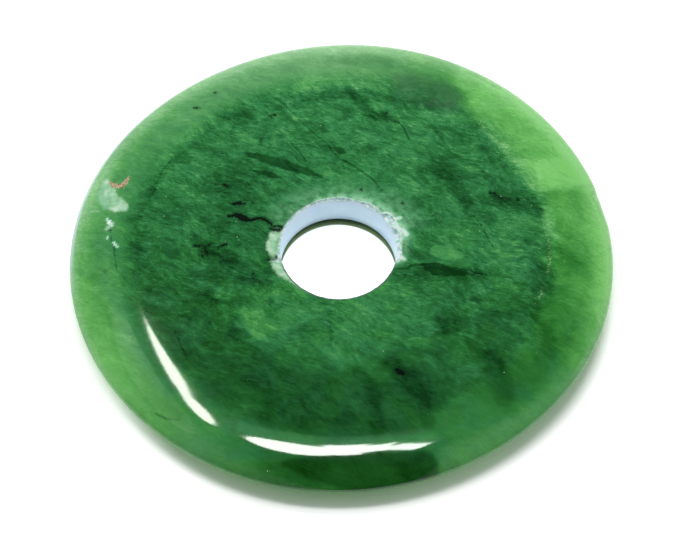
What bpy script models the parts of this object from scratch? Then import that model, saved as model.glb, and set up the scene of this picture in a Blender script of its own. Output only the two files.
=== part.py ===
"""Polished nephrite bi disc: a flat stone ring with a broad rounded edge and a drilled bore.

The disc lies on its flat underside. The origin is under the middle of its outline, +Z is up.
"""

import math

import bmesh
import bpy
from mathutils import Matrix

MM = 0.001

# The blank: a flat disc whose edge is rounded over from both faces
OUTER_RADIUS = 27.5 * MM
THICKNESS = 3.8 * MM
SHOULDER_WIDTH = 6.3 * MM
OUTLINE_STEPS = 120
SHOULDER_STEPS = 16

# The outline is ground by hand, so it is a little out of round
OVAL_SWELL = 0.50 * MM
OVAL_ANGLE = 16.0
TRIPLE_SWELL = 0.055 * MM
TRIPLE_ANGLE = 60.0
FOURFOLD_SWELL = 0.085 * MM
FOURFOLD_ANGLE = -13.5

# A short stretch of the outline is ground straight
STRAIGHT_ANGLE = 14.0
STRAIGHT_DEPTH = 0.12 * MM

# The bore is drilled square to the faces, a little off the middle of the outline
BORE_RADIUS = 6.0 * MM
BORE_X = -0.34 * MM
BORE_Y = -0.27 * MM
BORE_STEPS = 72
DRILL_OVERRUN = 2.0 * MM

# Flakes broken from the bore's upper rim: angle, length along the rim, reach past it, depth
RIM_FLAKES = (
    (112.0, 1.6 * MM, 0.14 * MM, 0.20 * MM),
    (88.0, 2.6 * MM, 0.18 * MM, 0.30 * MM),
    (58.0, 2.2 * MM, 0.30 * MM, 0.30 * MM),
    (35.0, 1.9 * MM, 0.75 * MM, 0.40 * MM),
    (15.0, 2.2 * MM, 0.50 * MM, 0.45 * MM),
    (354.0, 1.8 * MM, 0.42 * MM, 0.35 * MM),
    (192.0, 1.4 * MM, 0.25 * MM, 0.20 * MM),
)

# Flakes broken from the upper shoulder: angle about the outline's middle, length, width, depth
SHOULDER_FLAKES = (
    (175.5, 1.5 * MM, 0.9 * MM, 0.16 * MM),
)
SHOULDER_FLAKE_INSET = 4.1 * MM

FLAKE_SUBDIVISIONS = 2
SHARP_ANGLE = math.radians(30.0)
MERGE_DISTANCE = 0.01 * MM

STONE_COLOUR = (0.035, 0.165, 0.055, 1.0)
STONE_ROUGHNESS = 0.12
STONE_METALLIC = 0.0
STONE_IOR = 1.62


def clear_scene():
    for old in list(bpy.data.objects):
        bpy.data.objects.remove(old, do_unlink=True)


def new_collection(name):
    collection = bpy.data.collections.new(name)
    bpy.context.scene.collection.children.link(collection)
    return collection


def new_object(name, mesh, collection):
    obj = bpy.data.objects.new(name, mesh)
    collection.objects.link(obj)
    return obj


def wave(angle, swell, lobes, lobe_angle):
    """How far one set of evenly spaced swellings moves the outline at an angle."""
    return swell * math.cos(lobes * (angle - math.radians(lobe_angle)))


def smooth_radius(angle):
    """The outline's radius before the straight stretch is ground."""
    oval = wave(angle, OVAL_SWELL, 2, OVAL_ANGLE)
    triple = wave(angle, TRIPLE_SWELL, 3, TRIPLE_ANGLE)
    fourfold = wave(angle, FOURFOLD_SWELL, 4, FOURFOLD_ANGLE)
    return OUTER_RADIUS + oval + triple + fourfold


def ground_radius(angle):
    """The outline's radius at an angle about its middle."""
    radius = smooth_radius(angle)
    straight_angle = math.radians(STRAIGHT_ANGLE)
    across = math.cos(angle - straight_angle)
    if across <= 0.0:
        return radius
    straight_distance = smooth_radius(straight_angle) - STRAIGHT_DEPTH
    return min(radius, straight_distance / across)


def shoulder_profile():
    """Half of a flat ellipse, from the upper face down round the edge to the lower face."""
    half = THICKNESS / 2
    face_radius = OUTER_RADIUS - SHOULDER_WIDTH
    points = []
    for step in range(SHOULDER_STEPS + 1):
        turn = math.pi / 2 - math.pi * step / SHOULDER_STEPS
        points.append((face_radius + SHOULDER_WIDTH * math.cos(turn), 0.0, half + half * math.sin(turn)))
    return points


def turned_edge(collection):
    """The rounded edge as an open band, turned from its profile."""
    points = shoulder_profile()
    mesh = bpy.data.meshes.new("edge_profile")
    mesh.from_pydata(points, [(i, i + 1) for i in range(len(points) - 1)], [])
    edge = new_object("edge_profile", mesh, collection)
    screw = edge.modifiers.new("turn", "SCREW")
    screw.axis = "Z"
    screw.angle = math.tau
    screw.steps = OUTLINE_STEPS
    screw.render_steps = OUTLINE_STEPS
    screw.use_merge_vertices = True
    screw.merge_threshold = MERGE_DISTANCE
    return edge


def grind_outline(form):
    """Moves the turned outline to its hand-ground one and centres its box on the origin."""
    for vertex in form.verts:
        angle = math.atan2(vertex.co.y, vertex.co.x)
        factor = ground_radius(angle) / OUTER_RADIUS
        vertex.co.x *= factor
        vertex.co.y *= factor
    for axis in (0, 1):
        places = [vertex.co[axis] for vertex in form.verts]
        middle = (min(places) + max(places)) / 2
        for vertex in form.verts:
            vertex.co[axis] -= middle


def ground_blank(collection):
    """The whole disc before it is drilled: the turned edge, ground and closed by two flat faces."""
    edge = turned_edge(collection)
    graph = bpy.context.evaluated_depsgraph_get()
    mesh = bpy.data.meshes.new_from_object(edge.evaluated_get(graph))
    bpy.data.objects.remove(edge, do_unlink=True)
    form = bmesh.new()
    form.from_mesh(mesh)
    grind_outline(form)
    rims = [side for side in form.edges if side.is_boundary]
    bmesh.ops.holes_fill(form, edges=rims, sides=0)
    bmesh.ops.recalc_face_normals(form, faces=form.faces)
    form.to_mesh(mesh)
    form.free()
    mesh.name = "jade_disc"
    return new_object("jade_disc", mesh, collection)


def as_cutter(obj):
    obj.hide_render = True
    obj.display_type = "WIRE"


def drill(collection):
    bpy.ops.mesh.primitive_cylinder_add(
        vertices=BORE_STEPS,
        radius=BORE_RADIUS,
        depth=THICKNESS + 2 * DRILL_OVERRUN,
        location=(BORE_X, BORE_Y, THICKNESS / 2),
    )
    cutter = bpy.context.object
    cutter.name = "bore_drill"
    move_to(cutter, collection)
    as_cutter(cutter)


def move_to(obj, collection):
    for old in list(obj.users_collection):
        old.objects.unlink(obj)
    collection.objects.link(obj)


def flake(name, collection, place, angle, half_sizes):
    """A flat lens that takes one flake away; its half sizes are across, along and down."""
    mesh = bpy.data.meshes.new(name)
    form = bmesh.new()
    bmesh.ops.create_icosphere(form, subdivisions=FLAKE_SUBDIVISIONS, radius=1.0)
    scale = Matrix.Diagonal((*half_sizes, 1.0))
    turn = Matrix.Rotation(math.radians(angle), 4, "Z")
    bmesh.ops.transform(form, matrix=turn @ scale, verts=form.verts)
    form.to_mesh(mesh)
    form.free()
    cutter = new_object(name, mesh, collection)
    cutter.location = place
    as_cutter(cutter)


def rim_flakes(collection):
    for index, (angle, length, reach, depth) in enumerate(RIM_FLAKES):
        turn = math.radians(angle)
        x = BORE_X + BORE_RADIUS * math.cos(turn)
        y = BORE_Y + BORE_RADIUS * math.sin(turn)
        flake(f"rim_flake_{index + 1}", collection, (x, y, THICKNESS), angle, (reach, length / 2, depth))


def shoulder_height(inset):
    """The shoulder's upper surface at a distance in from the outline."""
    out = max(0.0, SHOULDER_WIDTH - inset) / SHOULDER_WIDTH
    return THICKNESS / 2 * (1 + math.sqrt(1 - out * out))


def shoulder_flakes(collection):
    for index, (angle, length, width, depth) in enumerate(SHOULDER_FLAKES):
        turn = math.radians(angle)
        radius = ground_radius(turn) - SHOULDER_FLAKE_INSET
        place = (radius * math.cos(turn), radius * math.sin(turn), shoulder_height(SHOULDER_FLAKE_INSET))
        flake(f"shoulder_flake_{index + 1}", collection, place, angle, (width / 2, length / 2, depth))


def stone():
    material = bpy.data.materials.new("nephrite")
    material.use_nodes = True
    shader = material.node_tree.nodes["Principled BSDF"]
    shader.inputs["Base Color"].default_value = STONE_COLOUR
    shader.inputs["Roughness"].default_value = STONE_ROUGHNESS
    shader.inputs["Metallic"].default_value = STONE_METALLIC
    shader.inputs["IOR"].default_value = STONE_IOR
    material.diffuse_color = STONE_COLOUR
    return material


def build():
    clear_scene()
    parts = new_collection("jade_bi_disc")
    cutters = new_collection("cutters")
    disc = ground_blank(parts)
    drill(cutters)
    rim_flakes(cutters)
    shoulder_flakes(cutters)
    cut = disc.modifiers.new("drill_and_flakes", "BOOLEAN")
    cut.operation = "DIFFERENCE"
    cut.solver = "EXACT"
    cut.operand_type = "COLLECTION"
    cut.collection = cutters
    disc.data.shade_smooth()
    disc.data.set_sharp_from_angle(angle=SHARP_ANGLE)
    disc.data.materials.append(stone())


build()
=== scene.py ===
"""Looks of the nephrite bi disc: its fine surface, polished stone, floor, light and camera."""

import math

import bpy
import numpy as np
from mathutils import Matrix, Vector


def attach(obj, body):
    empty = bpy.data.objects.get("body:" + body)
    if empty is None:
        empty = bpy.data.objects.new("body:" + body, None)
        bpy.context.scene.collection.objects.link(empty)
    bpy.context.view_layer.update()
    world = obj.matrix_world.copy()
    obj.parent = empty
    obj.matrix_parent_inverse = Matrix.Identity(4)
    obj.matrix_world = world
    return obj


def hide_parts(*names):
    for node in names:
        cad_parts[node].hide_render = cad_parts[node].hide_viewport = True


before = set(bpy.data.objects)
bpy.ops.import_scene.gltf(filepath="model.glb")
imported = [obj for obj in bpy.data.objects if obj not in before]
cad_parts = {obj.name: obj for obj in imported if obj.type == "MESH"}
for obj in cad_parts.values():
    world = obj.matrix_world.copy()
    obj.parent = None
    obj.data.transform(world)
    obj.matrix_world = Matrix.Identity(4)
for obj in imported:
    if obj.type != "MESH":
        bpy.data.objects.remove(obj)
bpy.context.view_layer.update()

# Lengths are in millimetres, except where a name ends in _M
MM = 0.001

# Keeps a division away from zero
TINY = 1e-9

# The form of the solid that this piece stands for
OUTER_RADIUS = 27.5
THICKNESS = 3.8
SHOULDER_WIDTH = 6.3
OVAL_SWELL, OVAL_ANGLE = 0.5, 16.0
TRIPLE_SWELL, TRIPLE_ANGLE = 0.055, 60.0
FOURFOLD_SWELL, FOURFOLD_ANGLE = 0.085, -13.5
STRAIGHT_ANGLE, STRAIGHT_DEPTH = 14.0, 0.12
BORE_RADIUS, BORE_X, BORE_Y = 6.0, -0.34, -0.27

# Flakes broken from the bore's upper rim: angle, length along the rim, reach past it, depth
RIM_FLAKES = (
    (112, 1.6, 0.14, 0.2),
    (88, 2.6, 0.18, 0.3),
    (58, 2.2, 0.3, 0.3),
    (35, 1.9, 0.75, 0.4),
    (15, 2.2, 0.5, 0.45),
    (354, 1.8, 0.42, 0.35),
    (192, 1.4, 0.25, 0.2),
)

# Mesh of the fine surface
ANGLE_STEPS = 560
WALL_RINGS = 12
CHIP_RINGS = 9
FACE_RINGS = 82
UPPER_SHOULDER_RINGS = 36
LOWER_SHOULDER_RINGS = 16
UNDERSIDE_RINGS = 10
EDGE_RINGS = 3

# Points on the shoulder's arc, to space its rings evenly
ARC_SAMPLES = 400

# The bore's rims: how far they are worn, and how ragged the upper one is
RIM_WEAR = 0.05
RIM_RAGGED_REACH = 0.07
RIM_RAGGED_DEPTH = 0.09
LOWER_RIM_ROUND = 0.1

# The upper rim's raggedness: seed, draws round the bore, weight
REACH_DRAWS = ((11, 150, 0.6), (12, 61, 0.4))
DEPTH_DRAWS = ((13, 120, 1.0),)

# Dents in the upper surface: x, y, half length, half width, depth, angle
DENTS = (
    (-23.9, 1.9, 0.75, 0.45, 0.16, 100),
    (-23.2, -0.3, 0.45, 0.12, 0.06, -45),
    (26.6, 7.6, 0.9, 0.25, 0.1, 78),
)


def wave(angle, swell, lobes, lobe_angle):
    """How far one set of evenly spaced swellings moves the outline at an angle."""
    return swell * np.cos(lobes * (angle - math.radians(lobe_angle)))


def smooth_radius(angle):
    """The outline's radius before the straight stretch is ground."""
    oval = wave(angle, OVAL_SWELL, 2, OVAL_ANGLE)
    triple = wave(angle, TRIPLE_SWELL, 3, TRIPLE_ANGLE)
    fourfold = wave(angle, FOURFOLD_SWELL, 4, FOURFOLD_ANGLE)
    return OUTER_RADIUS + oval + triple + fourfold


def ground_radius(angle):
    """The outline's radius at an angle about its middle, with the straight stretch."""
    radius = smooth_radius(angle)
    straight_angle = math.radians(STRAIGHT_ANGLE)
    across = np.cos(angle - straight_angle)
    straight = smooth_radius(straight_angle) - STRAIGHT_DEPTH
    cut = straight / np.maximum(across, TINY)
    return np.where(across > 0.0, np.minimum(radius, cut), radius)


def smooth_share(value, start, end):
    """0 before start, 1 after end, and a smooth rise between."""
    share = np.clip((value - start) / (end - start), 0, 1)
    return share * share * (3 - 2 * share)


def away_from(angle, middle):
    """Angles from a middle given in degrees, in radians and the shorter way round."""
    return np.angle(np.exp(1j * (angle - math.radians(middle))))


def ragged(layers, steps):
    """Seeded values from 0 to 1, one for each angle of the mesh, closed all the way round."""
    total = np.zeros(steps)
    for seed, count, weight in layers:
        draws = np.random.default_rng(seed).random(count)
        places = np.arange(steps) / steps * count
        low = places.astype(int) % count
        share = smooth_share(places - np.floor(places), 0, 1)
        total += weight * (draws[low] * (1 - share) + draws[(low + 1) % count] * share)
    return total


def flake_sizes(angle):
    """The reach and the depth of the broken rim at each angle of the bore."""
    reach = RIM_WEAR + RIM_RAGGED_REACH * ragged(REACH_DRAWS, len(angle))
    depth = RIM_WEAR + RIM_RAGGED_DEPTH * ragged(DEPTH_DRAWS, len(angle))
    for middle, length, flake_reach, flake_depth in RIM_FLAKES:
        along = np.clip(away_from(angle, middle) * BORE_RADIUS / (length / 2), -1, 1)
        bulge = np.sqrt(1 - along * along)
        reach = np.maximum(reach, flake_reach * bulge)
        depth = np.maximum(depth, flake_depth * bulge)
    return reach, depth


def shoulder_arc(rings):
    """Shares of the shoulder's width and half thickness, at equal steps from the face to the nose."""
    turn = np.linspace(0, math.pi / 2, ARC_SAMPLES)
    across = SHOULDER_WIDTH * np.sin(turn)
    down = THICKNESS / 2 * np.cos(turn)
    length = np.concatenate(([0], np.cumsum(np.hypot(np.diff(across), np.diff(down)))))
    steps = np.interp(np.linspace(0, length[-1], rings + 1), length, turn)
    return np.sin(steps), np.cos(steps)


def disc_rings():
    """The closed section of the disc at every angle, as rings of x, y, z, and each ring's kind."""
    angle = np.arange(ANGLE_STEPS) * math.tau / ANGLE_STEPS
    cos, sin = np.cos(angle), np.sin(angle)
    outline = ground_radius(angle)
    grown = outline / OUTER_RADIUS
    middle_x = ((outline * cos).max() + (outline * cos).min()) / 2
    middle_y = ((outline * sin).max() + (outline * sin).min()) / 2
    face = (OUTER_RADIUS - SHOULDER_WIDTH) * grown
    reach, depth = flake_sizes(angle)
    rings, kinds = [], []

    def add(x, y, z, kind):
        rings.append(np.stack((x, y, np.broadcast_to(z, x.shape)), axis=1))
        kinds.append(kind)

    def bore_ring(radius, z, kind):
        add(BORE_X + radius * cos, BORE_Y + radius * sin, z, kind)

    def shoulder_ring(out, z, kind):
        radius = face + SHOULDER_WIDTH * grown * out
        add(radius * cos - middle_x, radius * sin - middle_y, z, kind)

    def ring_between(start, end, share, z, kind):
        x, y = (a + (b - a) * share for a, b in zip(start, end))
        add(x, y, z, kind)

    for step in range(EDGE_RINGS):
        turn = math.pi / 2 * step / EDGE_RINGS
        out = LOWER_RIM_ROUND * (1 - math.sin(turn))
        bore_ring(BORE_RADIUS + out, LOWER_RIM_ROUND * (1 - math.cos(turn)), "wall")
    for step in range(WALL_RINGS + 1):
        share = step / WALL_RINGS
        top = THICKNESS - depth
        bore_ring(BORE_RADIUS, LOWER_RIM_ROUND + (top - LOWER_RIM_ROUND) * share, "wall")
    for step in range(1, CHIP_RINGS + 1):
        turn = math.pi / 2 * step / CHIP_RINGS
        bore_ring(BORE_RADIUS + reach * math.sin(turn), THICKNESS - depth * math.cos(turn), "chip")
    rim = rings[-1][:, 0], rings[-1][:, 1]
    face_edge = face * cos - middle_x, face * sin - middle_y
    for step in range(1, FACE_RINGS + 1):
        ring_between(rim, face_edge, step / FACE_RINGS, THICKNESS, "top")
    across, up = shoulder_arc(UPPER_SHOULDER_RINGS)
    for out, high in zip(across[1:], up[1:]):
        shoulder_ring(out, THICKNESS / 2 * (1 + high), "top")
    across, up = shoulder_arc(LOWER_SHOULDER_RINGS)
    for out, high in zip(across[-2::-1], up[-2::-1]):
        shoulder_ring(out, THICKNESS / 2 * (1 - high), "under")
    inner = BORE_RADIUS + LOWER_RIM_ROUND
    lower_rim = BORE_X + inner * cos, BORE_Y + inner * sin
    for step in range(1, UNDERSIDE_RINGS):
        ring_between(face_edge, lower_rim, step / UNDERSIDE_RINGS, 0.0, "under")
    return np.array(rings), kinds, (middle_x, middle_y)


def dented(places):
    """Lowers the upper surface where small flakes are gone."""
    for x, y, half_length, half_width, depth, angle in DENTS:
        turn = math.radians(angle)
        off_x, off_y = places[:, 0] - x, places[:, 1] - y
        along = (off_x * math.cos(turn) + off_y * math.sin(turn)) / half_length
        across = (off_y * math.cos(turn) - off_x * math.sin(turn)) / half_width
        inside = np.clip(1 - along * along - across * across, 0, 1)
        places[:, 2] -= np.where(places[:, 2] > THICKNESS / 2, depth * inside, 0)
    return places


def stroke_distance(x, y, stroke):
    """The distance to the edge of a chain of x, y, half width; negative inside it."""
    best = np.full(x.shape, np.inf)
    for (ax, ay, aw), (bx, by, bw) in zip(stroke, stroke[1:] or stroke):
        run_x, run_y = bx - ax, by - ay
        length = max(run_x * run_x + run_y * run_y, TINY)
        share = np.clip(((x - ax) * run_x + (y - ay) * run_y) / length, 0, 1)
        away = np.hypot(x - ax - share * run_x, y - ay - share * run_y)
        best = np.minimum(best, away - (aw + (bw - aw) * share))
    return best


# Places in the stone, in millimetres about the origin. A stroke is a chain of x, y, half width.
BLACK_STROKES = (
    ((-11.4, 4.9, 0.12), (-10.9, 5.05, 0.19), (-10.2, 5, 0.13)),
    ((-11.8, 3.4, 0.1), (-11.1, 3.55, 0.22), (-10.6, 3.4, 0.34), (-10, 3.1, 0.34), (-9.5, 2.95, 0.18),
     (-9, 3.1, 0.16), (-8.5, 3.25, 0.12), (-8, 3.1, 0.12), (-7.5, 2.75, 0.14), (-7.3, 2.4, 0.06)),
    ((-7.4, 2, 0.06), (-7, 1.75, 0.14), (-6.6, 1.8, 0.16), (-6.1, 2.05, 0.08)),
    ((-7.1, 2.25, 0.05), (-6.6, 2.35, 0.05), (-6.2, 2.2, 0.05)),
    ((-15.2, -0.35, 0.03), (-14.4, -0.2, 0.07)),
    ((-14.1, -0.4, 0.08), (-13.9, -0.9, 0.13), (-13.7, -1.3, 0.05)),
    ((-14.6, -1.3, 0.04), (-14.2, -1.5, 0.08)),
    ((-13.3, -0.9, 0.02), (-12.9, -1.2, 0.05)),
    ((-12.7, -0.4, 0.04), (-12.2, -0.2, 0.09), (-11.8, 0, 0.06)),
    ((-9, -3.4, 0.02), (-8.9, -3.9, 0.09), (-8.7, -4.3, 0.04)),
    ((-8.4, -4.5, 0.04), (-7.9, -4.7, 0.02)),
    ((-12.4, 7.35, 0.06), (-12, 7.05, 0.1)),
    ((-16, 17.2, 0.04), (-15.5, 17.2, 0.05)),
    ((-7.9, 16.2, 0.06), (-7.3, 16.35, 0.1)),
    ((4.2, 16.8, 0.05), (4.5, 16.85, 0.08)),
    ((5.2, 15.85, 0.07), (5.6, 15.7, 0.13)),
    ((15.2, 6.9, 0.06), (15.8, 6.85, 0.11), (16, 6.5, 0.07)),
    ((16.2, 6.3, 0.12), (16.7, 6.2, 0.11), (17.4, 6.15, 0.04)),
    ((20.45, 4.95, 0.08), (20.6, 4.75, 0.07)),
    ((5.7, -14.45, 0.24), (6.2, -14.8, 0.26)),
    ((-7.6, -1.8, 0.05), (-7, -1.85, 0.06), (-6.7, -1.4, 0.05), (-6.4, -1.3, 0.04)),
    ((-7, -1.85, 0.05), (-6.6, -1.7, 0.04)),
    ((-13.8, 19.3, 0.1),), ((-8.75, 13, 0.09),), ((18.2, 6, 0.09),), ((1.95, 7, 0.09),),
    ((6.2, 5.4, 0.06),), ((14.6, 9.6, 0.07),), ((-23.9, 1.55, 0.08),), ((-20.7, 3.9, 0.07),),
    ((-20.2, 1.9, 0.08),), ((-24.1, -3.4, 0.07),), ((-0.9, -10.2, 0.05),), ((-0.9, -11.1, 0.05),),
    ((-13.6, -0.15, 0.09),),
)

MINT_STROKES = (
    ((-24.8, 7.8, 0.45), (-24.6, 6.5, 0.95), (-24.2, 5.3, 1), (-23.4, 4.7, 0.95), (-22.7, 4.3, 0.6)),
    ((-24.3, 2.95, 0.16), (-24.5, 2.8, 0.12)),
    ((-25.3, 4.05, 0.1), (-26, 4.2, 0.14)),
    ((-24.2, 1.8, 0.28), (-23.7, 2.35, 0.26)),
    ((-24.1, 0.65, 0.12),),
    ((-23.4, 0, 0.09), (-22.95, -0.6, 0.08)),
    ((-6.6, 1, 1), (-6.6, -0.1, 1.25), (-6.5, -1, 0.9)),
    ((-6.4, -2.3, 0.8), (-5.9, -3.2, 0.75), (-5.1, -3.9, 0.55), (-4.3, -4.7, 0.3), (-3.4, -5.4, 0.12)),
)

RUST_STROKES = (
    ((-24.3, 7.6, 0.16), (-23.9, 7.25, 0.3), (-23.4, 7.05, 0.22)),
    ((-23.3, 7, 0.2), (-22.8, 7.3, 0.26), (-22.5, 7.8, 0.24), (-22.4, 8.2, 0.1)),
    ((-22.8, 6.8, 0.1),),
    ((25.5, 5.2, 0.07),),
    ((2.4, -8.1, 0.06),),
    ((19.7, -6.5, 0.06),),
)

# Darker and lighter patches with clear edges
DARK_PATCHES = (
    ((-10.6, 11.4, 0.05), (-9.8, 11.2, 0.28), (-8.4, 10.7, 0.46), (-6.3, 10, 0.62), (-4.4, 9.35, 0.48),
     (-3, 8.8, 0.26), (-1.9, 8.4, 0.02)),
    ((-9.5, 9.2, 0.05), (-8.2, 8.8, 0.34), (-7.2, 8.5, 0.3), (-6.4, 8.3, 0.05)),
    ((-1, 12.2, 0.15), (-0.4, 11.9, 0.45), (0.1, 11.6, 0.15)),
    ((8.5, -2.45, 0.22), (9.6, -2.75, 0.62), (11.2, -2.9, 0.52), (12.6, -3, 0.28), (13.6, -3.2, 0.1)),
)
LIGHT_PATCHES = (
    ((9.8, -0.4, 0.75), (10.6, -0.6, 0.85), (12, -0.9, 0.45)),
)
DARK_PATCH_TONE = 0.22
LIGHT_PATCH_TONE = 0.14

# Long thin dark lines in the stone
THREADS = (
    ((-7.5, 19, -0.01), (-5.8, 17, 0.02), (-3.6, 14.45, 0), (-1.6, 12.6, 0.02), (-1.1, 11.7, 0.05),
     (-0.5, 10.95, 0.04), (0.6, 10.3, 0.06), (1.9, 9.3, 0.08), (3, 8.4, 0.06), (4.1, 6.9, 0.02)),
    ((-11.25, 12.75, -0.05), (-10.1, 10.5, -0.05), (-9.3, 8.4, -0.04), (-9, 7.3, -0.05)),
    ((-11, 16.2, -0.03), (-11.8, 14.4, 0), (-11.9, 13, -0.02), (-11.2, 11.8, -0.05)),
    ((-6.6, 14.4, -0.05), (-5.6, 12.8, -0.02), (-4.6, 11.6, 0.02), (-3.9, 10.4, 0)),
    ((5.7, 15.8, 0.03), (6.4, 14.8, 0.05), (6.9, 13.4, 0.03)),
    ((13.6, 4, 0.02), (14.4, 2.6, 0.04), (15, 1.2, 0.05), (15.6, 0, 0.03)),
    ((5.3, -2.64, 0.08), (6.7, -2.6, 0.09), (7.1, -2.2, 0.07), (7.8, -2.07, 0.09), (9.9, -2, 0.12),
     (10.4, -2.26, 0.1), (11.6, -2.45, 0.08), (12.9, -2.64, 0.04), (14.2, -3.1, 0)),
    ((-16.6, -10.3, -0.04), (-16, -11.8, -0.01), (-15.5, -12.8, 0), (-15.2, -13.7, -0.04)),
    ((-18.1, -19.3, 0.03), (-17.1, -19.9, 0.04), (-16.4, -20.1, 0.05), (-15.6, -20.2, 0.03)),
    ((-23.8, 1.3, 0.02), (-23.7, 0.3, 0.03), (-23.3, -0.4, 0.04), (-23.2, -1.5, 0.03),
     (-22.9, -3.3, 0.01)),
    ((-17.2, 11.4, -0.03), (-18.8, 9.3, 0), (-19.4, 7.4, 0.01), (-19.9, 5.2, -0.03)),
)

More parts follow.
